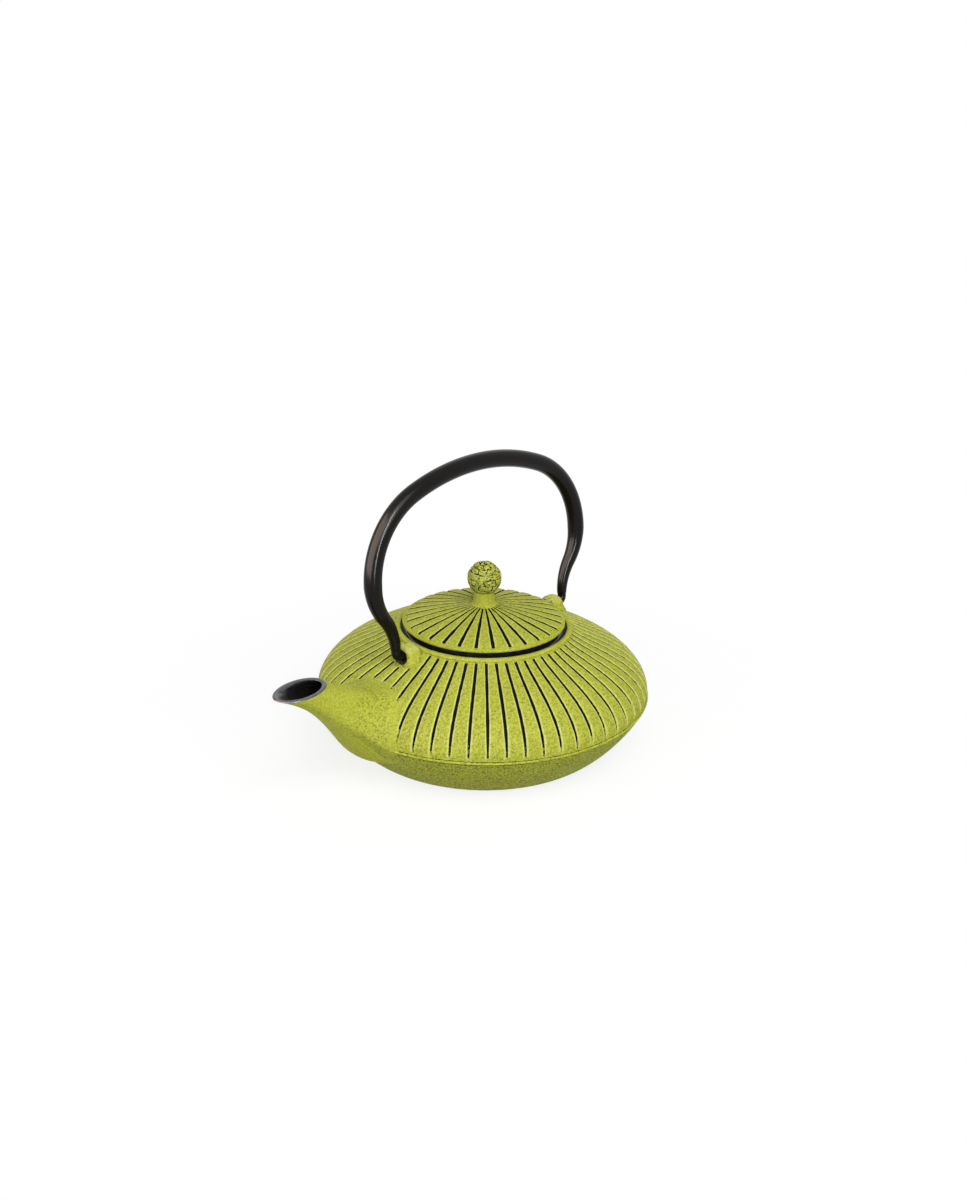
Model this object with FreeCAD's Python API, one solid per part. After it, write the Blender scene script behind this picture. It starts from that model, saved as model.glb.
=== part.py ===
import FreeCAD, Part
import math
import os

# Cast iron teapot with a ribbed dome, a bail handle and a hanging tea strainer.
# Millimetres. +Z is up, +X points along the spout, the origin is the middle of the base.

V = FreeCAD.Vector
UP = V(0, 0, 1)

# Vessel, as radius and height of its outline
EQUATOR_RADIUS = 82.0
EQUATOR_HEIGHT = 26.3
WALL = 3.5
FOOT_RADIUS = 57.0
BASE_THICKNESS = 4.0
BEAD_HEIGHT = 2.0
BEAD_STEP = 0.6
BOWL_DROP = 14.0
BOWL_INSET = 7.5
BOWL_RUN = 5.0
DOME_SPRING = 17.5
DOME_TOP_RUN = 6.8
DOME_TOP_DROP = 5.8

# Collar round the mouth, and the ledge inside it that carries strainer and lid
COLLAR_RADIUS = 44.9
COLLAR_FOOT_HEIGHT = 57.4
COLLAR_RISE = 2.2
COLLAR_ROUND = 1.7
MOUTH_RADIUS = 40.5
LEDGE_RADIUS = 38.9
LEDGE_DEPTH = 2.6
THROAT_RADIUS = 34.5
THROAT_LENGTH = 3.0

# Grooves between the ribs of the dome
DOME_GROOVES = 60
DOME_GROOVE_TURN = 0.4
DOME_GROOVE_DEPTH = 1.0
DOME_GROOVE_WIDTH_TOP = 1.3
DOME_GROOVE_WIDTH_BOTTOM = 1.3
DOME_GROOVE_START = 0.6
DOME_GROOVE_STOP = 1.6

# Spout: slope of its axis, its mouth, and its sections from the mouth to the root,
# each with the place of its middle, its half width across and its half height
SPOUT_SLOPE = 36.0
SPOUT_WALL = 1.9
SPOUT_MOUTH = (109.9, 58.4)
SPOUT_MOUTH_TILT = -4.4
SPOUT_SECTIONS = (
    ((117.0, 63.0), 9.3, 7.6),
    ((103.5, 53.5), 9.0, 8.4),
    ((96.3, 48.4), 10.4, 10.0),
    ((88.0, 42.2), 14.0, 12.6),
    ((79.3, 35.7), 19.5, 15.8),
    ((68.0, 29.5), 25.0, 17.0),
)

# Handle lugs and the pins that turn in them
PIVOT_HEIGHT = 57.3
PIN_RADIUS = 2.2
PIN_CLEARANCE = 0.08
PIN_END_GAP = 0.6
PIN_BEND = 3.0
PIN_INSERT_TURN = 20.0
LUG_MIDDLE = 49.0
LUG_HALF_LENGTH = 8.5
LUG_RADIUS = 4.3
LUG_FACE = 51.6
LUG_HOLE_DEPTH = 7.4

# Bail handle: a tube whose legs taper towards the pins
HANDLE_LEAN = 4.0
HANDLE_RISE = 83.0
HANDLE_HALF_SPAN = 66.4
HANDLE_TOP_RADIUS = 110.0
HANDLE_SHOULDER_RADIUS = 41.5
HANDLE_LEG_X = 55.5
HANDLE_LEG_START = 4.0
HANDLE_TUBE_RADIUS = 4.2
HANDLE_END_RADIUS = 2.9
HANDLE_TUBE_WALL = 0.65
HANDLE_LEG_STATIONS = 9

# Lid
LID_RADIUS = 39.7
LID_GAP = 1.6
LID_EDGE = 1.5
LID_EDGE_ROUND = 0.5
LID_RISE = 7.2
LID_CROWN = 0.9
LID_WALL = 3.2
LID_SHOULDER_CLEARANCE = 1.0
LID_SKIRT_CLEARANCE = 0.6
LID_SKIRT_WALL = 2.0
LID_SKIRT_DEPTH = 6.6
LID_GROOVES = 30
LID_GROOVE_TURN = 5.4
LID_GROOVE_DEPTH = 0.8
LID_GROOVE_WIDTH_INNER = 0.7
LID_GROOVE_WIDTH_OUTER = 1.3
LID_GROOVE_START = 2.0
LID_GROOVE_STOP = 2.2

# Neck and ball of the lid, with the screw that joins them
NECK_FOOT_RADIUS = 6.9
NECK_WAIST_RADIUS = 4.9
NECK_HEIGHT = 7.0
BALL_RADIUS = 8.1
SCREW_RADIUS = 2.0
SCREW_CLEARANCE = 0.25
SCREW_THREAD_GAP = 0.05
SCREW_REACH = 7.0
SCREW_TIP_GAP = 1.0
SCREW_HEAD_RADIUS = 3.8
SCREW_HEAD_HEIGHT = 2.6
SCREW_SLOT_WIDTH = 1.0
SCREW_SLOT_DEPTH = 1.2
WASHER_RADIUS = 4.6
WASHER_THICKNESS = 0.8

# Tea strainer
STRAINER_CLEARANCE = 0.9
STRAINER_SHEET = 0.6
STRAINER_MESH = 0.5
STRAINER_FIT = 0.02
STRAINER_DEPTH = 45.0
STRAINER_COLLAR_DEPTH = 8.0
STRAINER_HEM_HEIGHT = 6.0
STRAINER_HEM_LIP = 3.6
STRAINER_FLANGE_GAP = 0.7

COLLAR_TOP = COLLAR_FOOT_HEIGHT + COLLAR_RISE
LEDGE_HEIGHT = COLLAR_TOP - LEDGE_DEPTH
STRAINER_TOP = LEDGE_HEIGHT + STRAINER_SHEET
STRAINER_OUTER = THROAT_RADIUS - STRAINER_CLEARANCE
STRAINER_WALL_OUTER = STRAINER_OUTER - STRAINER_SHEET - STRAINER_FIT
STRAINER_WALL_INNER = STRAINER_WALL_OUTER - STRAINER_MESH
STRAINER_BOTTOM = LEDGE_HEIGHT - STRAINER_DEPTH
LID_UNDERSIDE = COLLAR_TOP + LID_GAP
LID_EDGE_TOP = LID_UNDERSIDE + LID_EDGE
LID_TOP = LID_EDGE_TOP + LID_RISE
NECK_TOP = LID_TOP + NECK_HEIGHT
BALL_MIDDLE = NECK_TOP + math.sqrt(BALL_RADIUS ** 2 - NECK_WAIST_RADIUS ** 2)
SCREW_SEAT = LID_TOP - LID_WALL
SCREW_HOLE_RADIUS = SCREW_RADIUS + SCREW_CLEARANCE
PIN_HOLE_END = LUG_FACE - LUG_HOLE_DEPTH


def point(spot):
    """A place in the plane of the spout, from its distance along X and its height."""
    return V(spot[0], 0, spot[1])


def line(start, end):
    return Part.LineSegment(point(start), point(end)).toShape()


def arc(start, middle, end):
    return Part.Arc(point(start), point(middle), point(end)).toShape()


def bezier(*spots):
    curve = Part.BezierCurve()
    curve.setPoles([point(spot) for spot in spots])
    return curve.toShape()


def path(*spots):
    """Straight edges from spot to spot."""
    return [line(start, end) for start, end in zip(spots, spots[1:])]


def turned(edges):
    """A solid of revolution about the pot's axis, from a closed outline."""
    return Part.Face(Part.Wire(edges)).revolve(V(0, 0, 0), UP, 360)


def disc(radius, bottom, top):
    return Part.makeCylinder(radius, top - bottom, V(0, 0, bottom))


def ring(inner, outer, bottom, top):
    return disc(outer, bottom, top).cut(disc(inner, bottom, top))


def around(shape, count, turn):
    """Copies of a shape at equal angles about the pot's axis."""
    copies = []
    for index in range(count):
        copy = shape.copy()
        copy.rotate(V(0, 0, 0), UP, turn + 360.0 * index / count)
        copies.append(copy)
    return copies


def dome_curve(inset):
    """Outline of the dome from the equator to the collar, moved inwards."""
    foot = (COLLAR_RADIUS - inset, COLLAR_FOOT_HEIGHT - inset)
    side = EQUATOR_RADIUS - BEAD_STEP - inset
    start = EQUATOR_HEIGHT + BEAD_HEIGHT / 2
    return (
        (side, start),
        (side, start + DOME_SPRING - inset / 2),
        (foot[0] + DOME_TOP_RUN, foot[1] - DOME_TOP_DROP),
        foot,
    )


def bowl_curve(inset, floor):
    """Outline of the bowl from the base to the equator, moved inwards."""
    side = EQUATOR_RADIUS - BEAD_STEP - inset
    end = EQUATOR_HEIGHT - BEAD_HEIGHT / 2
    foot = FOOT_RADIUS - inset
    return (
        (foot, floor),
        (foot + BOWL_RUN, floor),
        (side - BOWL_INSET, end - BOWL_DROP + floor / 2),
        (side, end),
    )


def vessel_outside():
    bowl = bowl_curve(0, 0)
    dome = dome_curve(0)
    bead = (EQUATOR_RADIUS, EQUATOR_HEIGHT)
    collar_side = (COLLAR_RADIUS, COLLAR_TOP - COLLAR_ROUND)
    collar_edge = (COLLAR_RADIUS - COLLAR_ROUND, COLLAR_TOP)
    slant = COLLAR_ROUND * (1 - math.sqrt(0.5))
    collar_middle = (COLLAR_RADIUS - slant, COLLAR_TOP - slant)
    edges = path((0, COLLAR_TOP), (0, 0), bowl[0])
    edges += [bezier(*bowl), arc(bowl[-1], bead, dome[0]), bezier(*dome)]
    edges += [line(dome[-1], collar_side), arc(collar_side, collar_middle, collar_edge)]
    edges.append(line(collar_edge, (0, COLLAR_TOP)))
    return turned(edges)


def vessel_inside():
    bowl = bowl_curve(WALL - BEAD_STEP, BASE_THICKNESS)
    side = bowl[-1]
    throat_foot = (THROAT_RADIUS, LEDGE_HEIGHT - THROAT_LENGTH)
    shoulder = (side[0], EQUATOR_HEIGHT + DOME_SPRING - WALL)
    neck = (throat_foot[0] + 2 * DOME_TOP_RUN, throat_foot[1] - DOME_TOP_DROP)
    above = COLLAR_TOP + WALL
    edges = path((0, above), (0, BASE_THICKNESS), bowl[0])
    edges += [bezier(*bowl), bezier(side, shoulder, neck, throat_foot)]
    edges += path(throat_foot, (THROAT_RADIUS, LEDGE_HEIGHT), (LEDGE_RADIUS, LEDGE_HEIGHT))
    edges += path((LEDGE_RADIUS, LEDGE_HEIGHT), (MOUTH_RADIUS, COLLAR_TOP), (MOUTH_RADIUS, above), (0, above))
    return turned(edges)


def groove_blade(floor, start, stop, width_start, width_stop, top):
    """One groove's cutter: a tapered bar from start to stop, with its underside on the floor curve."""
    low = min(spot[1] for spot in floor)
    near, far = V(start, 0, low), V(stop, 0, low)
    half_near, half_far = V(0, width_start / 2, 0), V(0, width_stop / 2, 0)
    corners = [near - half_near, far - half_far, far + half_far, near + half_near, near - half_near]
    bar = Part.Face(Part.makePolygon(corners)).extrude(UP * (top - low))
    side = max(stop, floor[0][0]) + WALL
    edges = [bezier(*floor)] + path(floor[-1], (floor[-1][0], top), (side, top), (side, floor[0][1]), floor[0])
    sheet = Part.Face(Part.Wire(edges))
    reach = max(width_start, width_stop)
    sheet.translate(V(0, -reach, 0))
    return bar.common(sheet.extrude(V(0, 2 * reach, 0)))


def dome_grooves():
    floor = dome_curve(DOME_GROOVE_DEPTH)
    shift = DOME_GROOVE_STOP - DOME_GROOVE_DEPTH / 2
    floor = tuple((radius, height + shift) if index == 0 else (radius, height)
                  for index, (radius, height) in enumerate(floor))
    blade = groove_blade(
        floor, COLLAR_RADIUS + DOME_GROOVE_START, EQUATOR_RADIUS,
        DOME_GROOVE_WIDTH_TOP, DOME_GROOVE_WIDTH_BOTTOM, COLLAR_TOP + WALL)
    return around(blade, DOME_GROOVES, DOME_GROOVE_TURN)


def spout_loft(inset):
    """A smooth tube through the spout's sections, each an ellipse square to the spout's axis."""
    slope = math.radians(SPOUT_SLOPE)
    axis = V(math.cos(slope), 0, math.sin(slope))
    sections = []
    for middle, half_width, half_height in SPOUT_SECTIONS:
        ellipse = Part.Ellipse(V(0, 0, 0), half_width - inset, half_height - inset).toShape()
        turn = FreeCAD.Rotation(V(0, 1, 0), V(-math.sin(slope), 0, math.cos(slope)), axis, "XYZ")
        ellipse.Placement = FreeCAD.Placement(point(middle), turn)
        sections.append(Part.Wire([ellipse]))
    return Part.makeLoft(sections, True, False)


def spout_trim():
    """The block above the spout's mouth."""
    reach = 2 * EQUATOR_RADIUS
    block = Part.makeBox(reach, reach, reach, V(-reach / 2, -reach / 2, 0))
    block.rotate(V(0, 0, 0), V(0, 1, 0), -SPOUT_MOUTH_TILT)
    block.translate(point(SPOUT_MOUTH))
    return block


def lug():
    """A rounded boss with its axis along the pin."""
    ellipse = Part.Ellipse(V(LUG_MIDDLE, 0, PIVOT_HEIGHT), LUG_HALF_LENGTH, LUG_RADIUS)
    outline = ellipse.toShape(0, math.pi)
    first = V(LUG_MIDDLE + LUG_HALF_LENGTH, 0, PIVOT_HEIGHT)
    last = V(LUG_MIDDLE - LUG_HALF_LENGTH, 0, PIVOT_HEIGHT)
    turn = FreeCAD.Rotation(V(1, 0, 0), 90)
    outline.Placement = FreeCAD.Placement(V(0, 0, 0), turn, V(LUG_MIDDLE, 0, PIVOT_HEIGHT))
    face = Part.Face(Part.Wire([outline, Part.LineSegment(last, first).toShape()]))
    boss = face.revolve(V(0, 0, PIVOT_HEIGHT), V(1, 0, 0), 360)
    beyond = Part.makeBox(LUG_HALF_LENGTH, 4 * LUG_RADIUS, 4 * LUG_RADIUS,
                          V(LUG_FACE, -2 * LUG_RADIUS, PIVOT_HEIGHT - 2 * LUG_RADIUS))
    return boss.cut(beyond)


def pin_hole():
    radius = PIN_RADIUS + PIN_CLEARANCE
    return Part.makeCylinder(radius, LUG_HOLE_DEPTH + PIN_BEND, V(PIN_HOLE_END, 0, PIVOT_HEIGHT), V(1, 0, 0))


def both_ends(shape):
    """A shape over the spout, and its mirror image on the other side of the pot."""
    return [shape, shape.mirror(V(0, 0, 0), V(1, 0, 0))]


def pot_body():
    outside = vessel_outside().cut(dome_grooves())
    trim = spout_trim()
    outside = outside.fuse(both_ends(lug()))
    outside = outside.fuse(spout_loft(0).cut(trim))
    body = outside.cut(vessel_inside())
    body = body.cut(spout_loft(SPOUT_WALL))
    return body.cut(both_ends(pin_hole()))


def lid_curve(inset):
    """Outline of the lid's top from the edge to the neck, moved down."""
    edge = LID_RADIUS - LID_EDGE_ROUND
    run = (edge - NECK_FOOT_RADIUS) / 3
    rise = LID_RISE / 3
    return (
        (edge, LID_EDGE_TOP - inset),
        (edge - run, LID_EDGE_TOP + rise + LID_CROWN - inset),
        (NECK_FOOT_RADIUS + run, LID_TOP - rise + LID_CROWN - inset),
        (NECK_FOOT_RADIUS, LID_TOP - inset),
    )


def lid():
    top = lid_curve(0)
    neck = ((NECK_FOOT_RADIUS, LID_TOP), (NECK_WAIST_RADIUS, LID_TOP + NECK_HEIGHT / 4),
            (NECK_WAIST_RADIUS, LID_TOP + NECK_HEIGHT / 2), (NECK_WAIST_RADIUS, NECK_TOP))
    shoulder = LEDGE_RADIUS - LID_SHOULDER_CLEARANCE
    skirt = STRAINER_WALL_INNER - LID_SKIRT_CLEARANCE
    skirt_inner = skirt - LID_SKIRT_WALL
    skirt_bottom = STRAINER_TOP - LID_SKIRT_DEPTH
    roof = (skirt_inner, LID_EDGE_TOP + LID_RISE / 4 - LID_WALL)
    seat_edge = (WASHER_RADIUS + LID_WALL / 2, SCREW_SEAT)
    round_start = (LID_RADIUS, LID_EDGE_TOP - LID_EDGE_ROUND)
    round_slant = LID_EDGE_ROUND * (1 - math.sqrt(0.5))
    round_middle = (LID_RADIUS - round_slant, LID_EDGE_TOP - round_slant)
    edges = [bezier(*top), bezier(*neck)]
    edges += path(neck[-1], (SCREW_HOLE_RADIUS, NECK_TOP), (SCREW_HOLE_RADIUS, SCREW_SEAT), seat_edge, roof)
    edges += path(roof, (skirt_inner, skirt_bottom), (skirt, skirt_bottom), (skirt, STRAINER_TOP))
    edges += path((skirt, STRAINER_TOP), (shoulder, STRAINER_TOP), (shoulder, LID_UNDERSIDE))
    edges += path((shoulder, LID_UNDERSIDE), (LID_RADIUS, LID_UNDERSIDE), round_start)
    edges.append(arc(round_start, round_middle, top[0]))
    start = NECK_FOOT_RADIUS + LID_GROOVE_START
    stop = LID_RADIUS - LID_GROOVE_STOP
    blade = groove_blade(
        lid_curve(LID_GROOVE_DEPTH), start, stop,
        LID_GROOVE_WIDTH_INNER, LID_GROOVE_WIDTH_OUTER, NECK_TOP)
    return turned(edges).cut(around(blade, LID_GROOVES, LID_GROOVE_TURN))


def lid_knob():
    ball = Part.makeSphere(BALL_RADIUS, V(0, 0, BALL_MIDDLE))
    ball = ball.cut(disc(BALL_RADIUS, NECK_TOP - BALL_RADIUS, NECK_TOP))
    return ball.cut(disc(SCREW_RADIUS + SCREW_THREAD_GAP, NECK_TOP, NECK_TOP + SCREW_REACH + SCREW_TIP_GAP))


def knob_washer():
    return ring(SCREW_HOLE_RADIUS, WASHER_RADIUS, SCREW_SEAT - WASHER_THICKNESS, SCREW_SEAT)


def knob_screw():
    head_top = SCREW_SEAT - WASHER_THICKNESS
    head_bottom = head_top - SCREW_HEAD_HEIGHT
    head = disc(SCREW_HEAD_RADIUS, head_bottom, head_top)
    slot = Part.makeBox(2 * SCREW_HEAD_RADIUS, SCREW_SLOT_WIDTH, SCREW_SLOT_DEPTH,
                        V(-SCREW_HEAD_RADIUS, -SCREW_SLOT_WIDTH / 2, head_bottom))
    return head.cut(slot).fuse(disc(SCREW_RADIUS, head_top, NECK_TOP + SCREW_REACH))


def handle_widest():
    """Height above the pivots at which the handle is widest, where its shoulder arc starts."""
    centre_gap = HANDLE_TOP_RADIUS - HANDLE_SHOULDER_RADIUS
    side_gap = HANDLE_HALF_SPAN - HANDLE_SHOULDER_RADIUS
    return HANDLE_RISE - HANDLE_TOP_RADIUS + math.sqrt(centre_gap ** 2 - side_gap ** 2)


def leg_bend():
    """Radius and angle of the two equal arcs that make a leg's S curve."""
    across = HANDLE_HALF_SPAN - HANDLE_LEG_X
    along = handle_widest() - HANDLE_LEG_START
    angle = 2 * math.atan2(across, along)
    return along / (2 * math.sin(angle)), angle


def leg_station(share):
    """Middle and direction of a leg, from its lower end at 0 to its widest place at 1."""
    radius, angle = leg_bend()
    if share < 0.5:
        turn = 2 * share * angle
        spot = (HANDLE_LEG_X + radius * (1 - math.cos(turn)), HANDLE_LEG_START + radius * math.sin(turn))
    else:
        turn = 2 * (1 - share) * angle
        spot = (HANDLE_HALF_SPAN - radius * (1 - math.cos(turn)), handle_widest() - radius * math.sin(turn))
    return raised(spot), V(math.sin(turn), 0, math.cos(turn))


def raised(spot):
    """A place on the upright handle, from its distance along X and its height above the pivots."""
    return V(spot[0], 0, PIVOT_HEIGHT + spot[1])


def circle(middle, direction, radius):
    return Part.Wire([Part.Circle(middle, direction, radius).toShape()])


def handle_arch(radius):
    """The arch of constant thickness above the handle's widest places."""
    widest = handle_widest()
    shoulder = (HANDLE_HALF_SPAN - HANDLE_SHOULDER_RADIUS, widest)
    centre = (0, HANDLE_RISE - HANDLE_TOP_RADIUS)
    lean = math.atan2(shoulder[0], widest - centre[1])
    meet = (HANDLE_TOP_RADIUS * math.sin(lean), centre[1] + HANDLE_TOP_RADIUS * math.cos(lean))
    half = (math.pi / 2 - lean) / 2
    middle = (shoulder[0] + HANDLE_SHOULDER_RADIUS * math.cos(half),
              widest + HANDLE_SHOULDER_RADIUS * math.sin(half))
    right = [(HANDLE_HALF_SPAN, widest), middle, meet]
    left = [(-x, height) for x, height in reversed(right)]
    top = [meet, (0, HANDLE_RISE), left[0]]
    edges = [Part.Arc(*[raised(spot) for spot in spots]).toShape() for spots in (right, top, left)]
    start = circle(raised(right[0]), UP, radius)
    return Part.Wire(edges).makePipeShell([start], True, False)


def handle_leg(inset):
    """The tapered leg over the spout."""
    sections = []
    for index in range(HANDLE_LEG_STATIONS):
        share = index / (HANDLE_LEG_STATIONS - 1)
        middle, direction = leg_station(share)
        radius = HANDLE_END_RADIUS + (HANDLE_TUBE_RADIUS - HANDLE_END_RADIUS) * share - inset
        sections.append(circle(middle, direction, radius))
    return Part.makeLoft(sections, True, False)


def leaned(shape):
    """A part of the handle turned from upright to where it stands."""
    shape.rotate(V(0, 0, PIVOT_HEIGHT), V(1, 0, 0), HANDLE_LEAN)
    return shape


def handle_tube():
    outside = handle_arch(HANDLE_TUBE_RADIUS).fuse(both_ends(handle_leg(0)))
    bore = handle_arch(HANDLE_TUBE_RADIUS - HANDLE_TUBE_WALL).fuse(both_ends(handle_leg(HANDLE_TUBE_WALL)))
    return leaned(outside.cut(bore).removeSplitter())


def handle_pin():
    """A hooked rod: up inside the leg, down out of it, and round into the lug."""
    radius = leg_bend()[0]
    turn = math.radians(PIN_INSERT_TURN)
    spots = [(HANDLE_LEG_X + radius * (1 - math.cos(part)), HANDLE_LEG_START + radius * math.sin(part))
             for part in (turn, turn / 2)]
    start = (HANDLE_LEG_X, HANDLE_LEG_START)
    bend_start = (HANDLE_LEG_X, PIN_BEND)
    slant = PIN_BEND * (1 - math.sqrt(0.5))
    bend_middle = (HANDLE_LEG_X - slant, slant)
    bend_end = (HANDLE_LEG_X - PIN_BEND, 0)
    tip = (PIN_HOLE_END + PIN_END_GAP, 0)
    edges = [
        Part.Arc(raised(spots[0]), raised(spots[1]), raised(start)).toShape(),
        Part.LineSegment(raised(start), raised(bend_start)).toShape(),
        Part.Arc(raised(bend_start), raised(bend_middle), raised(bend_end)).toShape(),
        Part.LineSegment(raised(bend_end), raised(tip)).toShape(),
    ]
    direction = V(-math.sin(turn), 0, -math.cos(turn))
    return Part.Wire(edges).makePipeShell([circle(raised(spots[0]), direction, PIN_RADIUS)], True, False)


def infuser_rim():
    flange = ring(STRAINER_OUTER - STRAINER_SHEET, LEDGE_RADIUS - STRAINER_FLANGE_GAP, LEDGE_HEIGHT, STRAINER_TOP)
    collar = ring(STRAINER_OUTER - STRAINER_SHEET, STRAINER_OUTER,
                  LEDGE_HEIGHT - STRAINER_COLLAR_DEPTH, LEDGE_HEIGHT)
    return flange.fuse(collar).removeSplitter()


def infuser_wall():
    bottom = STRAINER_BOTTOM + STRAINER_SHEET + STRAINER_MESH
    return ring(STRAINER_WALL_INNER, STRAINER_WALL_OUTER, bottom, LEDGE_HEIGHT)


def infuser_base():
    bottom = STRAINER_BOTTOM + STRAINER_SHEET
    return disc(STRAINER_WALL_OUTER, bottom, bottom + STRAINER_MESH)


def infuser_base_ring():
    lip_top = STRAINER_BOTTOM + STRAINER_SHEET
    lip = ring(STRAINER_OUTER - STRAINER_HEM_LIP, STRAINER_OUTER, STRAINER_BOTTOM, lip_top)
    sleeve = ring(STRAINER_OUTER - STRAINER_SHEET, STRAINER_OUTER, lip_top, STRAINER_BOTTOM + STRAINER_HEM_HEIGHT)
    return lip.fuse(sleeve).removeSplitter()


def build():
    pin_front, pin_rear = [leaned(pin) for pin in both_ends(handle_pin())]
    nodes = {
        "pot_body": pot_body(),
        "lid": lid(),
        "lid_knob": lid_knob(),
        "knob_screw": knob_screw(),
        "knob_washer": knob_washer(),
        "handle_tube": handle_tube(),
        "handle_pin_front": pin_front,
        "handle_pin_rear": pin_rear,
        "infuser_rim": infuser_rim(),
        "infuser_wall": infuser_wall(),
        "infuser_base": infuser_base(),
        "infuser_base_ring": infuser_base_ring(),
    }
    os.makedirs("parts", exist_ok=True)
    for name, shape in nodes.items():
        shape.exportStep("parts/" + name + ".step")
        box = shape.BoundBox
        print(name, len(shape.Solids), "solid", round(shape.Volume, 1), "mm3", shape.isValid(),
              [round(v, 2) for v in (box.XMin, box.XMax, box.YMin, box.YMax, box.ZMin, box.ZMax)])


build()
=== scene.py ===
import math

import bpy
from mathutils import Matrix, Vector, noise


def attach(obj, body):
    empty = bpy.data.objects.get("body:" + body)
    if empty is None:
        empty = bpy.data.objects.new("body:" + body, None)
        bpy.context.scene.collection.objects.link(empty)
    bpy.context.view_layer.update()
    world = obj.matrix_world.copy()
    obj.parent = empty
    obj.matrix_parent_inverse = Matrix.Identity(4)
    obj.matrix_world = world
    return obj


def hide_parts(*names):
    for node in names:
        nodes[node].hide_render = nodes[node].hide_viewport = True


# Lime green cast iron teapot. Shapes are written in millimetres and built in metres.

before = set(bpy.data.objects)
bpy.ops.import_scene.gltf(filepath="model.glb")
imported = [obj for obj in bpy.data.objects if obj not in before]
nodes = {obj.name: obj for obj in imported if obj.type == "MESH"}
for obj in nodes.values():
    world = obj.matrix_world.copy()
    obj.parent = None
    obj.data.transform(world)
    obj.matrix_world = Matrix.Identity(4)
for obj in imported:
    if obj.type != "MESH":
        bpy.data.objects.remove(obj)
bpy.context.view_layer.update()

MM = 0.001
SHARP_EDGE = math.radians(50)
MERGE_DISTANCE = 0.000001

# Marks that each spot of a lofted mesh carries for the paint: black, speckle and pale wear, and in some
# places painted shade, painted highlights and a painted sheen
MARKS = ("recess", "speckle_and_shade", "edge")

# How speckled the paint is
PLAIN_SPECKLE = 0.2
RIB_SPECKLE = 0.5
BOWL_SPECKLE = 0.85
BALL_SPECKLE = 0.7

# Vessel outline as radius and height: from the foot up to the collar, then over the ledge and down inside
FOOT = ((30, 0), (52, 0))
BOWL = ((57.0, 0.0), (62.0, 0.0), (73.9, 11.3), (81.4, 25.3))
DOME = ((81.4, 27.3), (81.4, 44.8), (51.7, 51.6), (43.5, 58.1))
COLLAR = ((43.4, 58.5), (43.3, 59.0), (42.9, 59.4), (42.3, 59.6), (41.4, 59.6), (40.8, 59.35))
LEDGE = ((40.5, 58.9), (38.9, 57.0), (36.5, 57.0), (34.5, 57.0))
INNER_DOME = ((34.5, 54.0), (48.1, 48.2), (78.5, 40.3), (78.5, 25.3))
INNER_BOWL = ((78.5, 25.3), (71.0, 13.3), (59.1, 4.0), (54.1, 4.0))
INNER_FLOOR = (30, 4)
BOWL_ROWS = 16
DOME_ROWS = 46
INNER_DOME_ROWS = 12
INNER_BOWL_ROWS = 10

# Steps of the outline that the spout and the lugs are fitted to
BOWL_STEPS = 80
DOME_STEPS = 160

# Rings of the bead round the widest part, and the crease under the collar: place, speckle and darkness
BEAD = (((81.0, 25.55), 0.6, 0.75), ((81.65, 25.8), 0.6, 0.0), ((82.0, 26.3), 0.6, 0.0),
        ((81.65, 26.8), 0.6, 0.0), ((81.0, 27.05), 0.4, 0.7))
COLLAR_CREASE = ((43.3, 58.2), PLAIN_SPECKLE, 0.4)

# Grooves of the dome and the staves that stand up between them, with the first groove's turn in degrees
STAVES = 60
STAVE_TURN = 0.4
GROOVE_DEPTH = 1.6
GROOVE_HALF = 0.42
STAVE_LIFT = 0.6

# Rings smaller than this are divided at the angles of a ring of this radius
LEAST_REACH = 40.0
LID_LEAST_REACH = 6.5

# Heights at the foot and radii at the head over which the grooves and the staves' lift come in
GROOVE_FOOT = (27.8, 30.4)
GROOVE_HEAD = (43.7, 44.3)
LIFT_FOOT = (28.0, 30.8)
LIFT_HEAD = (43.6, 46.0)

# Heights over which the grooves get their full width and black, and the share they start with
WIDENING = (28.0, 40.0)
FOOT_WIDTH = 0.7
BLACKENING = (28.0, 43.0)
FOOT_INK = 0.4

# Half a groove, as steps across in half widths and shares of its depth
GROOVE_PROFILE = ((0.0, 1.0), (0.6, 0.98), (1.1, 0.8), (1.5, 0.4), (1.85, 0.0))
INK_GAIN = 3.0

# Share of the lift at a stave's lips, shoulders and middle, and how far in the shoulders are
LIP_LIFT = 0.3
SHOULDER_LIFT = 0.46
MIDDLE_LIFT = 0.5
SHOULDER_PLACE = 0.3

# Unevenness of the cast grooves: noise steps from groove to groove, up and outwards, and its effect
WOBBLE_STEP = 7.31
WOBBLE_RISE = 0.3
WOBBLE_REACH = 0.21
WIDTH_WOBBLE = 0.22
DEPTH_WOBBLE = 0.15

# Patches without ribs round the lugs and the spout's root, which lies within an angle in radians
LUG_MIDDLE = 46.5
LUG_PATCH_LONG = 7.6
LUG_PATCH_WIDE = 6.6
LUG_PATCH_EDGE = (0.9, 1.12)
ROOT_EDGE = (0.97, 1.04)
SPOUT_SIDE = 1.2

# Spout: mouth ellipse, and the arch in which its root lands on the vessel
MOUTH = (109.9, 58.45)
MOUTH_LONG = 12.85
MOUTH_WIDE = 9.43
MOUTH_TILT = math.radians(4.4)
MOUTH_DROP = 0.5
SPOUT_COLUMNS = 144
SPOUT_ROWS = 32
SPOUT_WALL = 2.3
ROOT_ANGLE = 19.0
ROOT_MIDDLE = 26.0
ROOT_RISE = 21.7
ROOT_DROP = 12.5
ROOT_POWER = 2.7
ROOT_SINK = 2.0

# The rounded lip of the mouth, as inset and drop, and its painted sheen
MOUTH_LIP = ((2.1, 0.3), (1.7, 0.0), (1.1, -0.15), (0.5, -0.05), (0.12, 0.2))
LIP_PAINTED_SHEEN = 0.8

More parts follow.
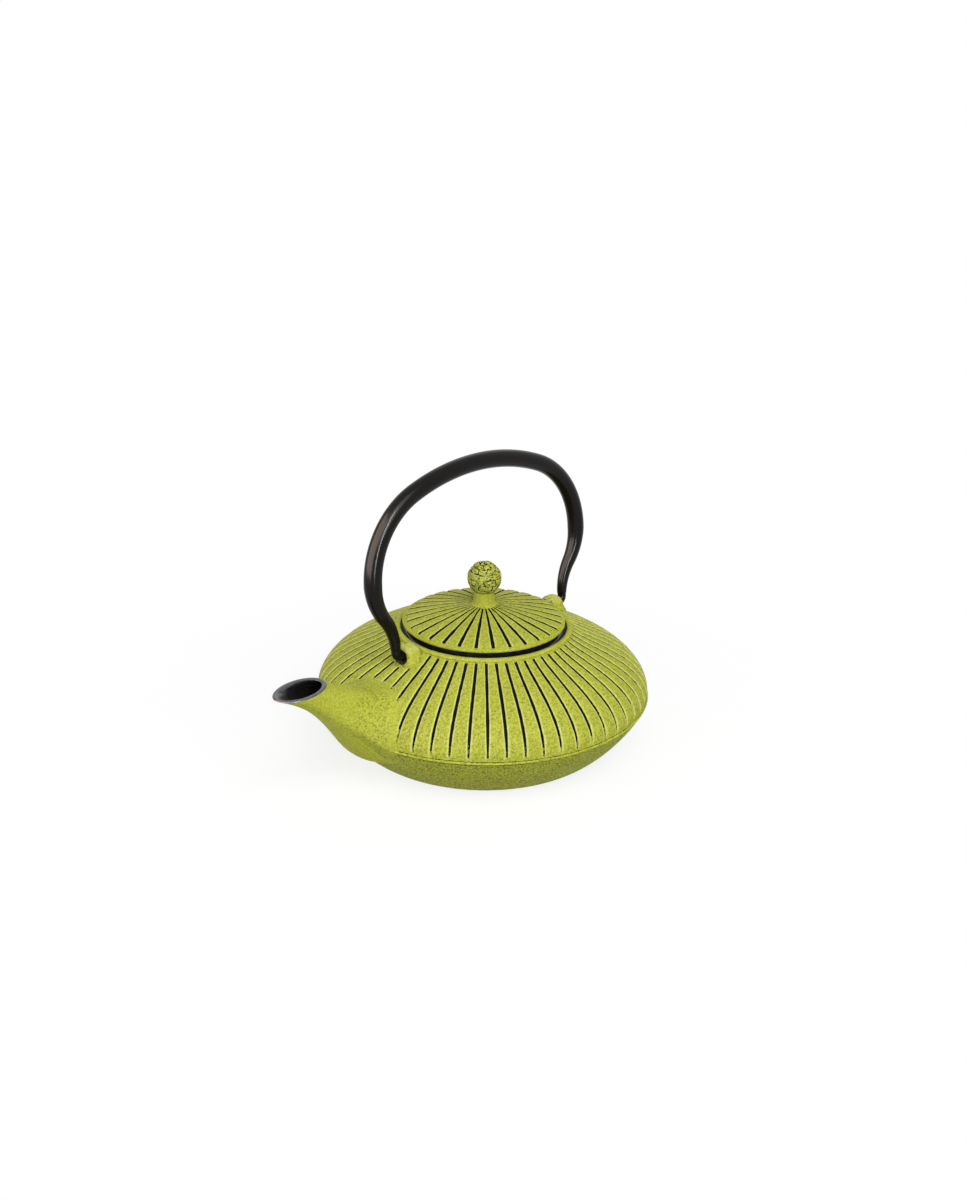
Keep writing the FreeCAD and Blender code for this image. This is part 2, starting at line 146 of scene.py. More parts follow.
# The spout's outline along its flank, ridge and keel: reach and slope at the mouth, lean at the root
FLANK = (18.4, 36.0, Vector((5.5, -13.5, 2.0)))
RIDGE = (12.3, 36.0, Vector((10.7, 0.0, 0.3)))
KEEL = (34.1, 22.5, Vector((14.1, 0.0, -1.4)))
BELLY = Vector((-4.2, 0.0, 2.1))

# The oval way from the pot into the spout, and the end of the spout's lining round it
WAY_HEIGHT = 33.0
WAY_ENDS = (60.0, 92.0)
WAY_HALF_WIDTH = 12.0
WAY_HALF_RISE = 8.0
WAY_COLUMNS = 48
THROAT_ANGLE = math.radians(10.5)
THROAT_HALF_RISE = 9.0
THROAT_SINK = 2.4
THROAT_ROWS = SPOUT_ROWS * 5 // 8

# Pits on the upper spout near its root, the broken casting seam low on its flank, and painted shade in the
# crease at its root
PIT_AMOUNT = 0.4
PIT_START = (0.3, 0.6)
PIT_END = (1.0, 0.8)
PIT_LOWEST = -0.5
SEAM_COLUMN = 129
SEAM_END = 0.85
SEAM_DARK = 0.55
SEAM_BREAKS = 31.0
SEAM_SEED = (0.3, 0.7)
SEAM_EDGE = (-0.15, 0.15)
ROOT_CREASE = (0.95, 1.0)
ROOT_CREASE_SHADE = 0.3

# Lugs, as distance along X and radius from the root out to the face, and how much wider than tall they are
LUG_ROOT = 42.4
LUG_STATIONS = ((42.6, 1.7), (42.9, 2.6), (43.6, 3.4), (44.7, 4.1), (46.0, 4.5), (47.4, 4.65), (49.8, 4.65),
                (50.8, 4.35), (51.4, 3.9), (51.65, 3.2))
LUG_SPREAD = 1.25
LUG_COLUMNS = 64
PIN_HOLE_RADIUS = 2.35
PIN_HOLE_ENDS = (51.65, 47.0)

# The lug's lower half flares into a skirt, creased where it meets the dome, with painted shade in the crease.
# Its top has a painted highlight.
SKIRT_SPAN = (0.15, -0.75)
SKIRT_WIDER = 0.5
SKIRT_OUT = 1.4
LUG_CREASE = (3.2, 0.6)
LUG_CREASE_SHADE = 0.25
LUG_CREASE_SHADE_MOTTLE = 0.8
LUG_TOP_HIGHLIGHT = 0.5
LUG_TOP_HIGHLIGHT_SPAN = (0.3, 0.9)

# Lid outline: bored neck, top, edge and underside
LID_BORE = 2.25
NECK_TOP = 76.9
LID_NECK = ((5.2, NECK_TOP), (5.2, 73.4), (5.1, 71.0), (6.0, 70.2))
LID_TOP = ((6.0, 70.2), (17.0, 68.6), (28.4, 66.0), (39.2, 62.7))
LID_EDGE = ((39.55, 62.55), (39.7, 62.2), (39.7, 61.5), (39.4, 61.2))
LID_UNDER = ((37.9, 61.2), (37.9, 57.6), (31.9, 57.6), (31.9, 51.4), (31.5, 51.0), (30.3, 51.0),
             (29.9, 51.4), (29.9, 60.6), (29.0, 61.4), (6.2, 66.7), (LID_BORE, 66.7))
LID_NECK_ROWS = 10
LID_TOP_ROWS = 40

# Grooves of the lid and the lift of its staves, with the radii over which they come in and go out
LID_STAVES = 30
LID_TURN = 5.4
LID_GROOVE_DEPTH = 1.35
LID_GROOVE_INNER = (6.4, 7.6)
LID_GROOVE_OUTER = (38.3, 37.3)
LID_HALF_INNER = 0.24
LID_HALF_OUTER = 0.5
LID_WIDENING = (6.0, 37.0)
LID_LIFT_SHARE = 0.042
LID_LIFT_INNER = (6.4, 12.0)
LID_LIFT_OUTER = (38.8, 37.2)

# Ball on the lid, with bands of raised patches: the number of patches in each band, from below
BALL_MIDDLE = 83.35
BALL_RADIUS = 8.3
BALL_SEAT = 4.9
BALL_TOP_GAP = 0.02
BALL_COLUMNS = 200
BALL_LINES = 110
BALL_PATCHES = (6, 8, 9, 10, 9, 8, 5)
BAND_WAVE = 0.32
BAND_WAVE_RATE = 2.2
BAND_SHIFT = 0.41
PATCH_WAVE = 0.3
PATCH_WAVE_RATE = 2.6
PATCH_WAVE_SHIFT = 9
LEAST_GIRTH = 0.2
PATCH_EDGE = (0.03, 0.36)
PATCH_RAGGED = 0.12
PATCH_SINK = 0.42
PATCH_RISE = 0.36
PATCH_UNEVEN = 0.3
PATCH_STEP = 3.7
BAND_STEP = 5.3
PATCH_WEAR = 0.3
BALL_ROUGH = 0.1
ROUGH_RATE = 9.0
FINE_RATE = 22.0
BALL_BLACK = (-0.5, 0.1)
BLACK_RATE = 3.3
STREAK_RATES = (5, 5, 26)
STREAK_EDGE = (0.3, 0.45)

# Handle, as distance along X and height above its pivots
PIVOT = 57.3
LEAN = math.radians(4.0)
RISE = 83.0
HALF_SPAN = 66.4
TOP_RADIUS = 110.0
SHOULDER_RADIUS = 41.5
LEG_X = 55.5
LEG_START = 4.0
TUBE_RADIUS = 4.2
TUBE_END_RADIUS = 2.4
TUBE_COLUMNS = 40
LEG_STEPS = 24
SHOULDER_STEPS = 20
TOP_STEPS = 12
END_CHAMFER = 0.35
END_STEP = 0.3

# Tea strainer: outlines of its sheet rims, and its weave, drawn coarser than a real one to let its wires show
RIM_OUTLINE = ((38.2, 57.3), (38.1, 57.55), (37.8, 57.6), (33.6, 57.6), (33.1, 57.4), (33.0, 56.8),
               (33.0, 49.1), (33.3, 49.0), (33.6, 49.1), (33.6, 56.8), (33.8, 57.0), (37.9, 57.0),
               (38.1, 57.05))
HEM_OUTLINE = ((30.0, 12.3), (30.1, 12.0), (33.2, 12.0), (33.6, 12.4), (33.6, 17.8), (33.3, 18.0),
               (33.0, 17.8), (33.0, 12.9), (32.8, 12.6), (30.1, 12.6))
SHEET_COLUMNS = 120
WALL_RADIUS = 32.73
WALL_START = 13.2
WALL_HEIGHT = 43.6
WALL_ROWS = 36
WALL_COLUMNS = 168
WALL_WIRE = 0.45
FLOOR_RADIUS = 32.6
FLOOR_HEIGHT = 12.85
FLOOR_RINGS = 26
FLOOR_COLUMNS = 84
FLOOR_WIRE = 0.4

# Grains of each finish's pattern to a millimetre
PAINT_GRIT = 1.1
PAINT_CLOUD = 0.07
PAINT_RAG = 0.48
PAINT_DOTS = 1.25
PAINT_LUMPS = 1.0
ENAMEL_RIPPLE = 0.26
LACQUER_PEEL = 0.7
LACQUER_CLOUD = 0.055
ROLLING_MARKS = (0.12, 0.12, 2.6)

# Shine of the two coatings, low because they mirror a white room
PAINT_SHINE = 0.07
LACQUER_SHINE = 0.14

# Settings of the nodes that are used most
COLOURS = {"data_type": "RGBA"}
TIMES = {"operation": "MULTIPLY"}
TIMES_PLUS = {"operation": "MULTIPLY_ADD"}
LARGER = {"operation": "MAXIMUM"}

# Stage, in metres, and the fitted camera
WHITE = "#FFFFFF"
STAGE_SIZE = 8.0
PAPER_FADE = (0.1, 0.26)
PAPER_GLOW = 0.82
ROOM_LIGHT = 0.3
LIGHT_TARGET = Vector((0, 0, 0.05))
CAMERA_PLACE = Vector((0.403949, 0.423806, 0.304259))
CAMERA_RIGHT = Vector((-0.7287528932, 0.6845650984, 0.0170248819))
CAMERA_UP = Vector((-0.2410915811, -0.2797651851, 0.9293041971))
CAMERA_BACK = Vector((0.6409321884, 0.6731285666, 0.3689225700))
CAMERA_LENS = 38.908
CAMERA_SENSOR = 36.0
CAMERA_NEAREST = 0.01


def smooth(low, high, value):
    """A soft step from 0 at low to 1 at high."""
    share = min(1.0, max(0.0, (value - low) / (high - low)))
    return share * share * (3 - 2 * share)


def blend(start, end, share):
    return start + (end - start) * share


def turns(count):
    """Angles of even steps round a circle."""
    return [math.tau * index / count for index in range(count)]


def power(value, exponent):
    """A power that keeps the sign."""
    return math.copysign(abs(value) ** exponent, value)


def bezier(poles, count):
    """Points along a cubic curve, with both ends."""
    points = []
    for index in range(count + 1):
        t = index / count
        weights = ((1 - t) ** 3, 3 * t * (1 - t) ** 2, 3 * t * t * (1 - t), t ** 3)
        axes = range(len(poles[0]))
        points.append(tuple(sum(w * p[axis] for w, p in zip(weights, poles)) for axis in axes))
    return points


def grain(x, y, z):
    return noise.noise(Vector((x, y, z)))


def loft(name, rows, ring=False, inner_from=None, inner_to=None):
    """A mesh over rows of spots. A row of one spot is a pole, and ring joins the last row to the first.
    A spot is x, y, z in mm and then its marks. Rows of the inner span take material 1."""
    starts, spots = [], []
    for row in rows:
        starts.append(len(spots))
        spots += row
    pairs = list(zip(range(len(rows)), range(1, len(rows))))
    if ring:
        pairs.append((len(rows) - 1, 0))
    faces, inner = [], []
    for low, high in pairs:
        count = max(len(rows[low]), len(rows[high]))
        for column in range(count):
            after = (column + 1) % count
            near = [starts[low] + (c if len(rows[low]) > 1 else 0) for c in (column, after)]
            far = [starts[high] + (c if len(rows[high]) > 1 else 0) for c in (after, column)]
            faces.append(list(dict.fromkeys(near + far)))
            inner.append(int(inner_from is not None and inner_from <= low < inner_to))
    mesh = bpy.data.meshes.new(name)
    mesh.from_pydata([tuple(MM * value for value in spot[:3]) for spot in spots], [], faces)
    for place, mark in enumerate(MARKS, start=3):
        layer = mesh.attributes.new(mark, "FLOAT", "POINT")
        layer.data.foreach_set("value", [spot[place] if len(spot) > place else 0.0 for spot in spots])
    piece = bpy.data.objects.new(name, mesh)
    bpy.context.collection.objects.link(piece)
    for _ in range(2):
        mesh.materials.append(None)
    mesh.polygons.foreach_set("material_index", inner)
    outward(piece)
    return piece


def choose(piece):
    bpy.ops.object.select_all(action="DESELECT")
    piece.select_set(True)
    bpy.context.view_layer.objects.active = piece


def outward(piece):
    """Faces turned outwards and shaded smooth up to a sharp edge."""
    choose(piece)
    bpy.ops.object.mode_set(mode="EDIT")
    bpy.ops.mesh.select_all(action="SELECT")
    bpy.ops.mesh.normals_make_consistent(inside=False)
    bpy.ops.object.mode_set(mode="OBJECT")
    bpy.ops.object.shade_smooth_by_angle(angle=SHARP_EDGE)


def bored(piece, cutter):
    """The piece with the cutter's shape taken out of it."""
    choose(piece)
    cut = piece.modifiers.new("bore", "BOOLEAN")
    cut.object = cutter
    cut.operation = "DIFFERENCE"
    cut.solver = "EXACT"
    bpy.ops.object.modifier_apply(modifier=cut.name)
    bpy.data.objects.remove(cutter)
    return piece


def fitted(piece, body, node, slot, *materials):
    """The finished piece on its body, in place of its CAD node."""
    for place, material in enumerate(materials):
        if place < len(piece.data.materials):
            piece.data.materials[place] = material
        else:
            piece.data.materials.append(material)
    while len(piece.data.materials) > len(materials):
        piece.data.materials.pop()
    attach(piece, body)
    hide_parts(node)


# Vessel

OUTLINE = bezier(BOWL, BOWL_STEPS) + bezier(DOME, DOME_STEPS)


def vessel_radius(height):
    """Outer radius of the vessel at a height."""
    for low, high in zip(OUTLINE, OUTLINE[1:]):
        if low[1] <= height <= high[1] and high[1] > low[1]:
            share = (height - low[1]) / (high[1] - low[1])
            return low[0] + share * (high[0] - low[0])
    return OUTLINE[-1][0]


def root_share(angle, height):
    """Below 1 inside the spout's root, above 1 outside it."""
    across = abs(math.degrees(angle)) / ROOT_ANGLE
    along = (height - ROOT_MIDDLE) / (ROOT_RISE if height > ROOT_MIDDLE else ROOT_DROP)
    return (across ** ROOT_POWER + abs(along) ** ROOT_POWER) ** (1 / ROOT_POWER)


def ribbed(angle, radius, height):
    """0 where the spout or a lug takes the ribs' place, else 1."""
    turned = math.remainder(angle, math.tau)
    across = radius * math.sin(turned) / LUG_PATCH_WIDE
    along = (abs(radius * math.cos(turned)) - LUG_MIDDLE) / LUG_PATCH_LONG
    share = smooth(*LUG_PATCH_EDGE, math.hypot(across, along))
    if abs(turned) < SPOUT_SIDE:
        share *= smooth(*ROOT_EDGE, root_share(turned, height))
    return share


def groove_wall(width, depth, lift, reach):
    """Half a groove from its floor to its lip: angle across, how far it is sunk, black, and groove depth."""
    return [(off * width / reach, part * depth - LIP_LIFT * lift, part * depth, depth)
            for off, part in GROOVE_PROFILE]


def stave_shoulder(lip, pitch):
    """The angle of a stave's shoulder, a little way in from its lip."""
    return lip + SHOULDER_PLACE * (pitch / 2 - lip)


def stave_row(spot, normal, depth, half, count, turn, reach,
              speckle_and_shade=PLAIN_SPECKLE, dark=0.0, cut=None, lift=0.0, ink=1.0):
    """A ring of spots: for each groove its floor and walls, and the raised, flat stave up to the next groove.
    The marks blacken the groove's floor and make its lips pale with wear and a painted highlight."""
    radius, height = spot
    pitch = math.tau / count
    grooves = []
    for index in range(count):
        angle = math.radians(turn) + pitch * index
        wobble = grain(index * WOBBLE_STEP, height * WOBBLE_RISE, radius * WOBBLE_REACH)
        clear = cut(angle, radius, height) if cut else 1.0
        width = half * (1 + WIDTH_WOBBLE * wobble)
        grooves.append((angle, width, depth * clear * (1 + DEPTH_WOBBLE * wobble), lift * clear))
    row = []
    for groove, groove_after in zip(grooves, grooves[1:] + grooves[:1]):
        angle, width, sink, raised = groove
        raised_after = groove_after[3]
        columns = groove_wall(width, sink, raised, reach)
        wall_after = groove_wall(*groove_after[1:], reach)
        lip = columns[-1][0]
        lip_after = pitch - wall_after[-1][0]
        columns.append((stave_shoulder(lip, pitch), -SHOULDER_LIFT * raised, 0.0, 0.0))
        columns.append((pitch / 2, -MIDDLE_LIFT * (raised + raised_after) / 2, 0.0, 0.0))
        columns.append((stave_shoulder(lip_after, pitch), -SHOULDER_LIFT * raised_after, 0.0, 0.0))
        columns += [(pitch - off, *rest) for off, *rest in reversed(wall_after[1:])]
        for off, sunk, black, near in columns:
            inward = radius - normal[0] * sunk
            inked = min(1.0, INK_GAIN * black)
            # Pale lips: worn paint and a painted highlight
            edge = min(1.0, near) * (1 - inked)
            around = angle + off
            place = (inward * math.cos(around), inward * math.sin(around), height - normal[1] * sunk)
            row.append(place + (max(dark, ink * inked), speckle_and_shade * (1 - edge), edge))
    return row


def normals(points):
    """Outward directions of an outline that runs upwards and inwards."""
    result = []
    for index in range(len(points)):
        low, high = points[max(0, index - 1)], points[min(len(points) - 1, index + 1)]
        step = math.hypot(high[0] - low[0], high[1] - low[1])
        result.append(((high[1] - low[1]) / step, (low[0] - high[0]) / step))
    return result


def spout_way():
    """An oval plug for the opening between the pot and its spout."""
    rings = []
    for x in WAY_ENDS:
        rings.append([(x, WAY_HALF_WIDTH * math.cos(a), WAY_HEIGHT + WAY_HALF_RISE * math.sin(a))
                      for a in turns(WAY_COLUMNS)])
    near, far = WAY_ENDS
    return loft("spout_way", [[(near, 0, WAY_HEIGHT)]] + rings + [[(far, 0, WAY_HEIGHT)]])


def pot_shell():
    """The vessel with its ribbed dome and its black lining, open to the spout."""
    def plain(spot, speckle_and_shade=PLAIN_SPECKLE, dark=0.0):
        reach = max(spot[0], LEAST_REACH)
        return stave_row(spot, (0, 0), 0.0, GROOVE_HALF, STAVES, STAVE_TURN, reach, speckle_and_shade, dark)

    rows = [[(0, 0, 0)]] + [plain(spot) for spot in FOOT]
    rows += [plain(spot, BOWL_SPECKLE) for spot in bezier(BOWL, BOWL_ROWS)]
    rows += [plain(*ring) for ring in BEAD]
    dome = bezier(DOME, DOME_ROWS)
    for spot, normal in zip(dome, normals(dome)):
        radius, height = spot
        half = GROOVE_HALF * blend(FOOT_WIDTH, 1.0, smooth(*WIDENING, height))
        depth = GROOVE_DEPTH * smooth(*GROOVE_HEAD, radius) * smooth(*GROOVE_FOOT, height)
        lift = STAVE_LIFT * smooth(*LIFT_HEAD, radius) * smooth(*LIFT_FOOT, height)
        ink = blend(FOOT_INK, 1.0, smooth(*BLACKENING, height))
        rows.append(stave_row(spot, normal, depth, half, STAVES, STAVE_TURN, radius,
                              RIB_SPECKLE, 0.0, ribbed, lift, ink))
    rows.append(plain(*COLLAR_CREASE))
    rows += [plain(spot) for spot in COLLAR]
    inner_from = len(rows) - 1
    rows += [plain(spot) for spot in LEDGE]
    rows += [plain(spot) for spot in bezier(INNER_DOME, INNER_DOME_ROWS)]
    rows += [plain(spot) for spot in bezier(INNER_BOWL, INNER_BOWL_ROWS)[1:]]
    rows += [plain(INNER_FLOOR), [(0, 0, INNER_FLOOR[1])]]
    shell = loft("pot_shell", rows, inner_from=inner_from, inner_to=len(rows))
    return bored(shell, spout_way())


# Spout

def mouth_spot(side, top, inset, drop):
    """A place on the mouth's edge: side is across, top is towards the pot."""
    along = (MOUTH_LONG - inset) * top
    return Vector((MOUTH[0] - along * math.cos(MOUTH_TILT), (MOUTH_WIDE - inset) * side,
                   MOUTH[1] + along * math.sin(MOUTH_TILT) - drop))


def root_spot(side, top, inset):
    """A place on the spout's root, on the vessel or under its skin."""
    angle = math.radians(ROOT_ANGLE) * power(side, 2 / ROOT_POWER)
    along = power(top, 2 / ROOT_POWER)
    height = ROOT_MIDDLE + along * (ROOT_RISE if top > 0 else ROOT_DROP)
    radius = vessel_radius(height) - inset
    return Vector((radius * math.cos(angle), radius * math.sin(angle), height))


def spout_column(angle):
    """The four poles of the spout's outline at an angle round its axis."""
    side, top = math.cos(angle), math.sin(angle)
    reach, slope, lean = RIDGE if top > 0 else KEEL
    share = top * top
    reach = blend(FLANK[0], reach, share)
    slope = math.radians(blend(FLANK[1], slope, share))
    flank = Vector((FLANK[2][0], FLANK[2][1] * math.copysign(1, side), FLANK[2][2]))
    lean = flank * side * side + lean * share
    if top < 0:
        lean += BELLY * 4 * side * side * share
    start = mouth_spot(side, top, 0.0, MOUTH_DROP)
    end = root_spot(side, top, 0.0)
    return start, start - reach * Vector((math.cos(slope), 0.0, math.sin(slope))), end + lean, end


def spout_skin(column, share, angle):
    """The marks on the spout's outside: pits near its root, a broken casting seam low on its flank, and
    painted shade along the crease at its root.
    """
    pits = PLAIN_SPECKLE
    if math.sin(angle) > PIT_LOWEST:
        pits += PIT_AMOUNT * smooth(*PIT_START, share) * smooth(*PIT_END, share)
    seam = 0.0
    if column == SEAM_COLUMN and share < SEAM_END:
        seam = SEAM_DARK * smooth(*SEAM_EDGE, grain(share * SEAM_BREAKS, *SEAM_SEED))
    # The root's crease is darkened with painted shade
    return (max(seam, ROOT_CREASE_SHADE * smooth(*ROOT_CREASE, share)), pits, 0.0)


def pot_spout():
    """The hollow spout, from its mouth down to its root and back up through its lining."""
    steps = turns(SPOUT_COLUMNS)
    columns = [bezier(spout_column(angle), SPOUT_ROWS) for angle in steps]
    rows = []
    for row in range(SPOUT_ROWS + 1):
        share = row / SPOUT_ROWS
        skins = [spout_skin(place, share, angle) for place, angle in enumerate(steps)]
        rows.append([column[row] + skin for column, skin in zip(columns, skins)])
    rows.append([tuple(root_spot(math.cos(a), math.sin(a), ROOT_SINK)) for a in steps])
    inner_from = len(rows) - 1
    throat = []
    for angle in steps:
        height = WAY_HEIGHT + THROAT_HALF_RISE * math.sin(angle)
        radius = vessel_radius(height) - THROAT_SINK
        around = THROAT_ANGLE * math.cos(angle)
        throat.append((radius * math.cos(around), radius * math.sin(around), height))
    rows.append(throat)
    for row in range(THROAT_ROWS, 0, -1):
        ring = [Vector(column[row]) for column in columns]
        middle = sum(ring, Vector()) / len(ring)
        arms = [spot - middle for spot in ring]
        rows.append([tuple(middle + arm * (1 - SPOUT_WALL / arm.length)) for arm in arms])
    for inset, drop in MOUTH_LIP:
        lip = [mouth_spot(math.cos(a), math.sin(a), inset, drop) for a in steps]
        # The lip's rows carry a painted sheen
        rows.append([tuple(spot) + (0.0, 0.0, LIP_PAINTED_SHEEN) for spot in lip])
    return loft("pot_spout", rows, ring=True, inner_from=inner_from, inner_to=len(rows))


# Lugs that hold the handle's pins

def pot_lug(name, end):
    """A rounded boss round the pin, flared where it runs into the dome and the collar."""
    steps = turns(LUG_COLUMNS)
    rows = [[(end * LUG_ROOT, 0, PIVOT)]]
    for x, radius in LUG_STATIONS:
        row = []
        for angle in steps:
            low = smooth(*SKIRT_SPAN, math.sin(angle))
            reach = radius * (1 + SKIRT_WIDER * low)
            out = x + SKIRT_OUT * low
            side = LUG_SPREAD * reach * math.cos(angle)
            height = PIVOT + reach * math.sin(angle)
            # Painted shade in the crease, as darkness and olive mottle, and a painted highlight on the lug's
            # top
            crease = smooth(*LUG_CREASE, math.hypot(out, side) - vessel_radius(height))
            top_highlight = LUG_TOP_HIGHLIGHT * smooth(*LUG_TOP_HIGHLIGHT_SPAN, math.sin(angle))
            marks = (LUG_CREASE_SHADE * crease, PLAIN_SPECKLE + LUG_CREASE_SHADE_MOTTLE * crease, top_highlight)
            row.append((end * out, side, height) + marks)
        rows.append(row)
    for x in PIN_HOLE_ENDS:
        ring = [(PIN_HOLE_RADIUS * math.cos(a), PIVOT + PIN_HOLE_RADIUS * math.sin(a)) for a in steps]
        rows.append([(end * x, side, height, 1.0) for side, height in ring])
    rows.append([(end * PIN_HOLE_ENDS[1], 0, PIVOT, 1.0)])
    return loft(name, rows)


# Lid and its ball

def lid_casting():
    """The ribbed lid with its bored neck, and the black collar that fits into the pot."""
    def plain(spot):
        reach = max(spot[0], LID_LEAST_REACH)
        return stave_row(spot, (0, 0), 0.0, LID_HALF_OUTER, LID_STAVES, LID_TURN, reach)

    rows = [plain((LID_BORE, NECK_TOP))]
    rows += [plain(spot) for spot in bezier(LID_NECK, LID_NECK_ROWS)[:-1]]
    top = bezier(LID_TOP, LID_TOP_ROWS)
    for spot, normal in zip(top, normals(top[::-1])[::-1]):
        radius = spot[0]
        depth = LID_GROOVE_DEPTH * smooth(*LID_GROOVE_INNER, radius) * smooth(*LID_GROOVE_OUTER, radius)
        half = blend(LID_HALF_INNER, LID_HALF_OUTER, smooth(*LID_WIDENING, radius))
        lift = LID_LIFT_SHARE * radius * smooth(*LID_LIFT_INNER, radius) * smooth(*LID_LIFT_OUTER, radius)
        reach = max(radius, LID_LEAST_REACH)
        rows.append(stave_row(spot, normal, depth, half, LID_STAVES, LID_TURN, reach, RIB_SPECKLE, lift=lift))
    rows += [plain(spot) for spot in LID_EDGE]
    inner_from = len(rows) - 1
    rows += [plain(spot) for spot in LID_UNDER]
    return loft("lid_casting", rows, ring=True, inner_from=inner_from, inner_to=len(rows))


def ball_grain(way, rate, shift=0):
    """Noise in a direction from the ball's middle."""
    return grain(*[rate * value + shift for value in way])


def ball_spot(angle, tilt, bottom):
    """A spot of the ball's relief, at an angle round it and a tilt up from its middle, with its marks."""
    way = (math.cos(tilt) * math.cos(angle), math.cos(tilt) * math.sin(angle), math.sin(tilt))
    arc = math.pi / 2 - bottom
    bands = len(BALL_PATCHES)
    place = (tilt - bottom) / arc * bands + BAND_WAVE * ball_grain(way, BAND_WAVE_RATE)
    band = min(bands - 1, max(0, int(place)))
    patches = BALL_PATCHES[band]
    wave = PATCH_WAVE * ball_grain(way, PATCH_WAVE_RATE, PATCH_WAVE_SHIFT)
    across = angle / math.tau * patches + BAND_SHIFT * band + wave
    block = math.floor(across)
    width = math.tau * BALL_RADIUS * max(LEAST_GIRTH, math.cos(tilt)) / patches
    tall = arc * BALL_RADIUS / bands
    gap = min((across - block) * width, (1 + block - across) * width,
              abs(place - band) * tall, abs(1 - place + band) * tall)
    uneven = grain((block % patches) * PATCH_STEP + 0.5, band * BAND_STEP + 0.5, 0.5)
    rough = ball_grain(way, ROUGH_RATE) + 0.5 * ball_grain(way, FINE_RATE)
    raised = smooth(*PATCH_EDGE, gap + PATCH_RAGGED * rough)
    radius = BALL_RADIUS - PATCH_SINK + raised * (PATCH_RISE + PATCH_UNEVEN * uneven) + BALL_ROUGH * rough
    if tilt == bottom:
        radius = BALL_RADIUS
    streak = grain(*[value * rate for value, rate in zip(way, STREAK_RATES)])
    between = (1 - raised) * smooth(*BALL_BLACK, ball_grain(way, BLACK_RATE))
    black = max(between, smooth(*STREAK_EDGE, streak))
    marks = (black, BALL_SPECKLE, raised * PATCH_WEAR)
    return (radius * way[0], radius * way[1], BALL_MIDDLE + radius * way[2]) + marks


def knob_ball():
    """A ball covered with irregular raised patches in wavy bands, with black left between them."""
    bottom = -math.acos(BALL_SEAT / BALL_RADIUS)
    rows = [[(0, 0, NECK_TOP)]]
    for line in range(BALL_LINES):
        tilt = bottom + (math.pi / 2 - BALL_TOP_GAP - bottom) * line / (BALL_LINES - 1)
        rows.append([ball_spot(angle, tilt, bottom) for angle in turns(BALL_COLUMNS)])
    rows.append([(0, 0, BALL_MIDDLE + BALL_RADIUS)])
    return loft("knob_ball", rows)


# Handle

def handle_path():
    """Middle, direction and radius along the handle's right half, from its lower end to the top."""
    centre_gap = TOP_RADIUS - SHOULDER_RADIUS
    side_gap = HALF_SPAN - SHOULDER_RADIUS
    widest = RISE - TOP_RADIUS + math.sqrt(centre_gap ** 2 - side_gap ** 2)
    along = widest - LEG_START
    angle = 2 * math.atan2(HALF_SPAN - LEG_X, along)
    bend = along / (2 * math.sin(angle))
    stations = []
    for index in range(LEG_STEPS):
        share = index / LEG_STEPS
        if share < 0.5:
            turn = 2 * share * angle
            spot = (LEG_X + bend * (1 - math.cos(turn)), LEG_START + bend * math.sin(turn))
        else:
            turn = 2 * (1 - share) * angle
            spot = (HALF_SPAN - bend * (1 - math.cos(turn)), widest - bend * math.sin(turn))
        radius = blend(TUBE_END_RADIUS, TUBE_RADIUS, share)
        stations.append((spot, (math.sin(turn), math.cos(turn)), radius))
    lean = math.atan2(side_gap, widest - RISE + TOP_RADIUS)
    for index in range(SHOULDER_STEPS):
        turn = (math.pi / 2 - lean) * index / SHOULDER_STEPS
        spot = (side_gap + SHOULDER_RADIUS * math.cos(turn), widest + SHOULDER_RADIUS * math.sin(turn))
        stations.append((spot, (-math.sin(turn), math.cos(turn)), TUBE_RADIUS))
    for index in range(TOP_STEPS + 1):
        turn = lean * (1 - index / TOP_STEPS)
        spot = (TOP_RADIUS * math.sin(turn), RISE - TOP_RADIUS + TOP_RADIUS * math.cos(turn))
        stations.append((spot, (-math.cos(turn), math.sin(turn)), TUBE_RADIUS))
    return stations


def leaned(x, y, height):
    """A place on the upright handle, leaned over its pivots."""
    return (x, y * math.cos(LEAN) - height * math.sin(LEAN),
            PIVOT + y * math.sin(LEAN) + height * math.cos(LEAN))


def tube_row(station, radius, shift=0.0):
    """A ring round the handle's middle line, shifted along it."""
    (x, height), (across, up), _ = station
    row = []
    for angle in turns(TUBE_COLUMNS):
        out = radius * math.cos(angle)
        row.append(leaned(x + out * up + shift * across, radius * math.sin(angle),
                          height - out * across + shift * up))
    return row


def bail_tube():
    """The bent tube, tapered and chamfered at both ends."""
    right = handle_path()
    left = [((-spot[0], spot[1]), (way[0], -way[1]), radius) for spot, way, radius in reversed(right[:-1])]
    stations = right + left
    first, last = stations[0], stations[-1]
    tip = TUBE_END_RADIUS - END_CHAMFER
    rows = [[leaned(LEG_X, 0, LEG_START)], tube_row(first, tip), tube_row(first, TUBE_END_RADIUS, END_STEP)]
    rows += [tube_row(station, station[2]) for station in stations[1:-1]]
    rows += [tube_row(last, TUBE_END_RADIUS, -END_STEP), tube_row(last, tip), [leaned(-LEG_X, 0, LEG_START)]]
    return loft("bail_tube", rows)


# Tea strainer

